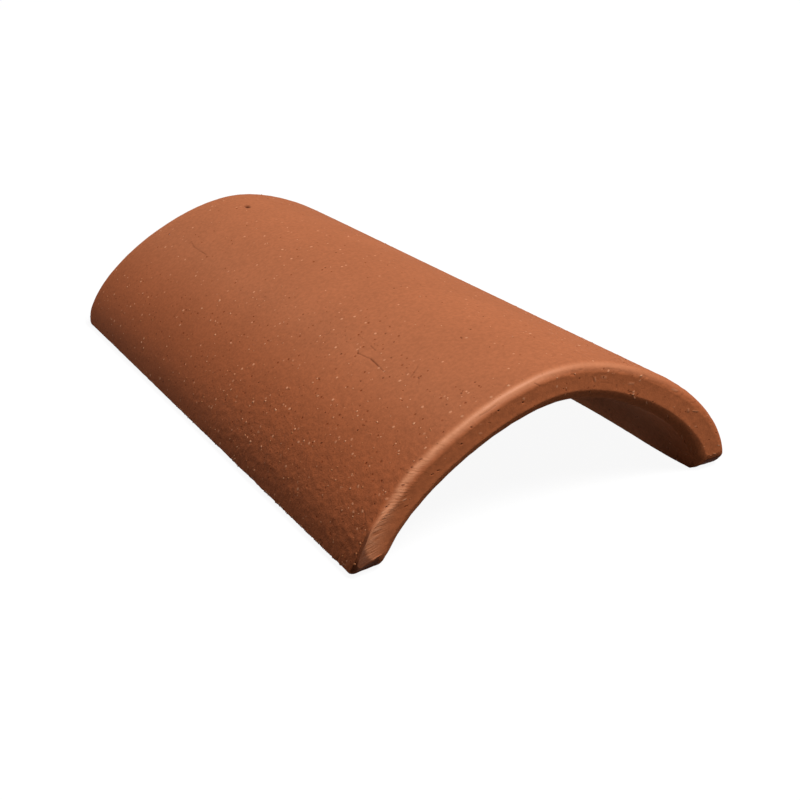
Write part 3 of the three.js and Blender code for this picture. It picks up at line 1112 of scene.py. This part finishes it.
stretch = {1: (1 / STROKE_WIDTH, 1 / STROKE_LENGTH, 0)}
stretched = add(tree, "VectorMath", TIMES | stretch, _0=on_sheet).outputs[0]
strokes = add(tree, "TexNoise", {"Scale": 1.0, "Detail": 3.0}, Vector=stretched).outputs["Fac"]
ends = {"From Min": STREAK_MARGIN, "From Max": 1 - STREAK_MARGIN, "To Min": -STREAKS, "To Max": STREAKS}
streaks = add(tree, "MapRange", ends, Value=strokes).outputs[0]
streaked = add(tree, "Math", TIMES_PLUS | {2: 1.0}, _0=streaks, _1=dragged_fac).outputs[0]
pale_fac = add(tree, "Math", TIMES, _0=pale_fac, _1=streaked).outputs[0]
strokes = add(tree, "Math", TIMES, _0=strokes, _1=dragged_fac).outputs[0]
colour = clouded
# The pale film is partly a painted highlight; the pores, the cut marks, the undersides and the left foot's
# corner get painted shade.
for share, code in ((pale_fac, PALE_SLIP_AND_HIGHLIGHT), (specks, PALE_GRIT), (chalky_fac, CHALKY_CLAY),
                    (pores, PORE_SHADE_BROWN), (dark_fac, PAINTED_SHADE_BROWN)):
    colour = add(tree, "Mix", COLOUR_MIX | {7: linear(code)}, _0=share, _6=colour).outputs[2]
print("nodes of the clay so far:", len(tree.nodes))

# %% Fine relief and the finished surface
# Real grit is finer than the render can show, so the smallest waves are drawn at half a millimetre.
GRAIN_WAVE, GRIT_WAVE = 1.3 * MM, 0.55 * MM
GRAIN_HEIGHT, GRIT_HEIGHT = 0.32 * MM, 0.05 * MM
SMOOTHED_GRAIN = 0.2
PORE_DEPTH, SPECK_RISE, STROKE_HEIGHT = 0.14 * MM, 0.10 * MM, 0.30 * MM
DRY_ROUGHNESS, SLIP_ROUGHNESS = 0.85, 0.6
FILM_SHEEN, FILM_ROUGHNESS = 0.4, 0.5

rough_wave = add(tree, "TexNoise", {"Scale": 1 / GRAIN_WAVE, "Detail": 3.0, "Roughness": 0.6},
                 Vector=coords).outputs["Fac"]
grit_wave = add(tree, "TexNoise", {"Scale": 1 / GRIT_WAVE, "Detail": 1.0},
                Vector=coords).outputs["Fac"]
ends = {"To Min": SMOOTHED_GRAIN * GRAIN_HEIGHT, "To Max": GRAIN_HEIGHT}
rough_level = add(tree, "MapRange", ends, Value=rough_fac).outputs[0]
height = add(tree, "Math", TIMES, _0=rough_wave, _1=rough_level).outputs[0]
for pattern, rise in ((grit_wave, GRIT_HEIGHT), (pores, -PORE_DEPTH), (specks, SPECK_RISE),
                      (strokes, STROKE_HEIGHT)):
    height = add(tree, "Math", TIMES_PLUS | {1: rise}, _0=pattern, _2=height).outputs[0]
# These heights are in metres already, so the bump leaves them as they are.
bump = add(tree, "Bump", {"Strength": 1.0, "Distance": 1.0}, Height=height).outputs["Normal"]
film = add(tree, "Math", TIMES | {1: FILM_SHEEN}, _0=pale_fac).outputs[0]
ends = {"To Min": DRY_ROUGHNESS, "To Max": SLIP_ROUGHNESS}
roughness = add(tree, "MapRange", ends, Value=pale_fac).outputs[0]
finish = {"IOR": CLAY_IOR, "Specular IOR Level": CLAY_GLOSS, "Coat Roughness": FILM_ROUGHNESS}
shader = add(tree, "BsdfPrincipled", finish,
             Base_Color=colour, Roughness=roughness, Coat_Weight=film, Normal=bump)
add(tree, "OutputMaterial", None, Surface=shader.outputs["BSDF"])
skin.materials.append(terracotta)
print("nodes of the clay in all:", len(tree.nodes))

# %% [markdown]
# ## The grains' own finish
# Grog was fired before, so it is paler and drier than the clay around it, from cream to orange, and
# a few grains are dark with iron. One material for each tint would do, but a tint from 0 to 1 on the
# points of the joined mesh gives each grain its own colour from a single material.

# %% Fired grog
IRON_GRAIN, ORANGE_GRAIN, CREAM_GRAIN = "#6E3A22", "#C07A50", "#E4A57E"
IRON_BELOW, CREAM_FROM = 0.05, 0.45
GROG_ROUGHNESS = 0.9

grog, tree = new_material("crushed_fired_clay_grog")
coords = add(tree, "TexCoord").outputs["Object"]
tint = add(tree, "Attribute", {"attribute_name": "tint"}).outputs["Fac"]
cream = add(tree, "MapRange", {"From Min": CREAM_FROM}, Value=tint).outputs[0]
iron = add(tree, "Math", {"operation": "LESS_THAN", 1: IRON_BELOW}, _0=tint).outputs[0]
colour = add(tree, "Mix", COLOUR_MIX | {6: linear(ORANGE_GRAIN), 7: linear(CREAM_GRAIN)},
             _0=cream).outputs[2]
colour = add(tree, "Mix", COLOUR_MIX | {7: linear(IRON_GRAIN)}, _0=iron, _6=colour).outputs[2]
grit_wave = add(tree, "TexNoise", {"Scale": 1 / GRIT_WAVE, "Detail": 2.0},
                Vector=coords).outputs["Fac"]
bump = add(tree, "Bump", {"Strength": 1.0, "Distance": GRIT_HEIGHT}, Height=grit_wave)
finish = {"IOR": CLAY_IOR, "Specular IOR Level": CLAY_GLOSS, "Roughness": GROG_ROUGHNESS}
shader = add(tree, "BsdfPrincipled", finish, Base_Color=colour, Normal=bump.outputs["Normal"])
add(tree, "OutputMaterial", None, Surface=shader.outputs["BSDF"])
grain_mesh.materials.append(grog)
print("material:", grog.name, "with", len(tree.nodes), "nodes")

# %% [markdown]
# ## A studio for it
# The tile stands on a plain floor. One big soft lamp hangs high in front on the right and shapes the
# arch. A weak card stands low behind on the left: it keeps the left flank from going black and shines
# through the hollow. A white floor would do that too, but then the undersides of the feet and the lip
# of the hollow would glow, and on a real tile they are the darkest places. So the floor that lights
# the tile is a grey one, and only the camera, and mirrors and glass, see it as white.

# %% The floor
# In metres.
FLOOR_RADIUS, FLOOR_SIDES = 8.0, 96
FLOOR_GREY = "#5C5C5C"
SEEN_GLOW, SEEN_PAINT = 0.93, "#5E5E5E"
WHITE = linear("#FFFFFF")
RAYS_THAT_SEE_WHITE = ("Is Camera Ray", "Is Glossy Ray", "Is Transmission Ray")


def sees_white(tree):
    """1 for a ray of one of these kinds, else 0."""
    paths = add(tree, "LightPath").outputs
    first, *others = (paths[kind] for kind in RAYS_THAT_SEE_WHITE)
    for ray in others:
        first = add(tree, "Math", {"operation": "MAXIMUM"}, _0=first, _1=ray).outputs[0]
    return first


bpy.ops.mesh.primitive_circle_add(vertices=FLOOR_SIDES, radius=FLOOR_RADIUS, fill_type="NGON",
                                  location=(0, 0, 0))
floor = bpy.context.object
floor.name = "studio_floor"
painted, tree = new_material("matt_floor_paint")
grey = add(tree, "BsdfDiffuse", {"Color": linear(FLOOR_GREY)}).outputs[0]
glow = add(tree, "Emission", {"Color": WHITE, "Strength": SEEN_GLOW}).outputs[0]
paint = add(tree, "BsdfDiffuse", {"Color": linear(SEEN_PAINT)}).outputs[0]
white = add(tree, "AddShader", None, _0=glow, _1=paint).outputs[0]
mixed = add(tree, "MixShader", None, _0=sees_white(tree), _1=grey, _2=white).outputs[0]
add(tree, "OutputMaterial", None, Surface=mixed)
floor.data.materials.append(painted)
print("floor in metres across:", 2 * FLOOR_RADIUS)

# %% The room around it
ROOM_LIGHT, SEEN_ROOM = 0.03, 1.0

world = bpy.data.worlds.new("studio_room")
bpy.context.scene.world = world
world.use_nodes = True
tree = world.node_tree
tree.nodes.clear()
dim, bright = (
    add(tree, "Background", {"Color": WHITE, "Strength": strength}).outputs[0]
    for strength in (ROOM_LIGHT, SEEN_ROOM))
mixed = add(tree, "MixShader", None, _0=sees_white(tree), _1=dim, _2=bright).outputs[0]
add(tree, "OutputWorld", None, Surface=mixed)
print("the room lights the tile this much:", ROOM_LIGHT)

# %% The soft lamps
# Where from, how many metres away, how wide and high, and how bright a white sheet facing it would look.
LAMPS = {
    "soft_box": ((0.21, -0.38, 0.90), 3.6, 1.5, 1.5, 1.06),
    "back_card": ((-0.42, 0.90, 0.085), 3.0, 1.4, 0.5, 0.27),
}
for name, (towards, distance, width, height, level) in LAMPS.items():
    towards = Vector(towards).normalized()
    lamp_data = bpy.data.lights.new(name, "AREA")
    lamp_data.shape = "RECTANGLE"
    lamp_data.size = width
    lamp_data.size_y = height
    lamp_data.energy = level * math.pi ** 2 * distance ** 2
    lamp = new_object(name, lamp_data)
    lamp.location = towards * distance
    lamp.rotation_euler = towards.to_track_quat("Z", "Y").to_euler()
    print(name, "energy in watts:", round(lamp_data.energy, 1))

# %% [markdown]
# ## The camera
# A tile is best seen from a little above and in front of its wide end, where the wall, the hollow and
# one long side all show. A camera can be moved by hand until that looks right. This one is worked out
# from three angles, a focal length and one anchor: the point of the floor under the middle of the
# wide end has to land on a given pixel, so it stays there when the tile's length changes.

# %% Place the camera
# Radians, and pixels in a square picture this many pixels wide. The depth is in millimetres.
TURN, TILT, ROLL = 0.588785, 0.435135, 0.0362993
PICTURE = 800
FOCAL = 1439.631
ANCHOR = Vector((0.0, -LENGTH / 2, 0.0))
ANCHOR_DEPTH = 578.289
ANCHOR_PIXEL = (555.150, 519.285)
# Millimetres on the camera's sensor, then metres.
SENSOR = 36.0
CLIP_START, CLIP_END = 0.01, 100.0

ahead = Vector((math.sin(TURN) * math.cos(TILT), math.cos(TURN) * math.cos(TILT), -math.sin(TILT)))
level = Vector((math.cos(TURN), -math.sin(TURN), 0.0))
upright = level.cross(ahead)
right = math.cos(ROLL) * level + math.sin(ROLL) * upright
up = math.cos(ROLL) * upright - math.sin(ROLL) * level
sideways = ANCHOR_DEPTH * (ANCHOR_PIXEL[0] - PICTURE / 2) / FOCAL
upward = ANCHOR_DEPTH * (PICTURE / 2 - ANCHOR_PIXEL[1]) / FOCAL
place = ANCHOR - ANCHOR_DEPTH * ahead - sideways * right - upward * up
lens = bpy.data.cameras.new("camera")
lens.sensor_width = SENSOR
lens.lens = FOCAL / PICTURE * SENSOR
lens.clip_start, lens.clip_end = CLIP_START, CLIP_END
camera = new_object("camera", lens)
camera.matrix_world = Matrix.Translation(place * MM) @ Matrix((right, up, -ahead)).transposed().to_4x4()
bpy.context.scene.camera = camera
print("lens in mm:", round(lens.lens, 2), "camera at mm:", [round(v) for v in place])

# %% [markdown]
# ## The view
# The colours were written to be seen as they are, so the view gets no film curve of its own.

# %% Look as written
bpy.context.scene.view_settings.view_transform = "Standard"
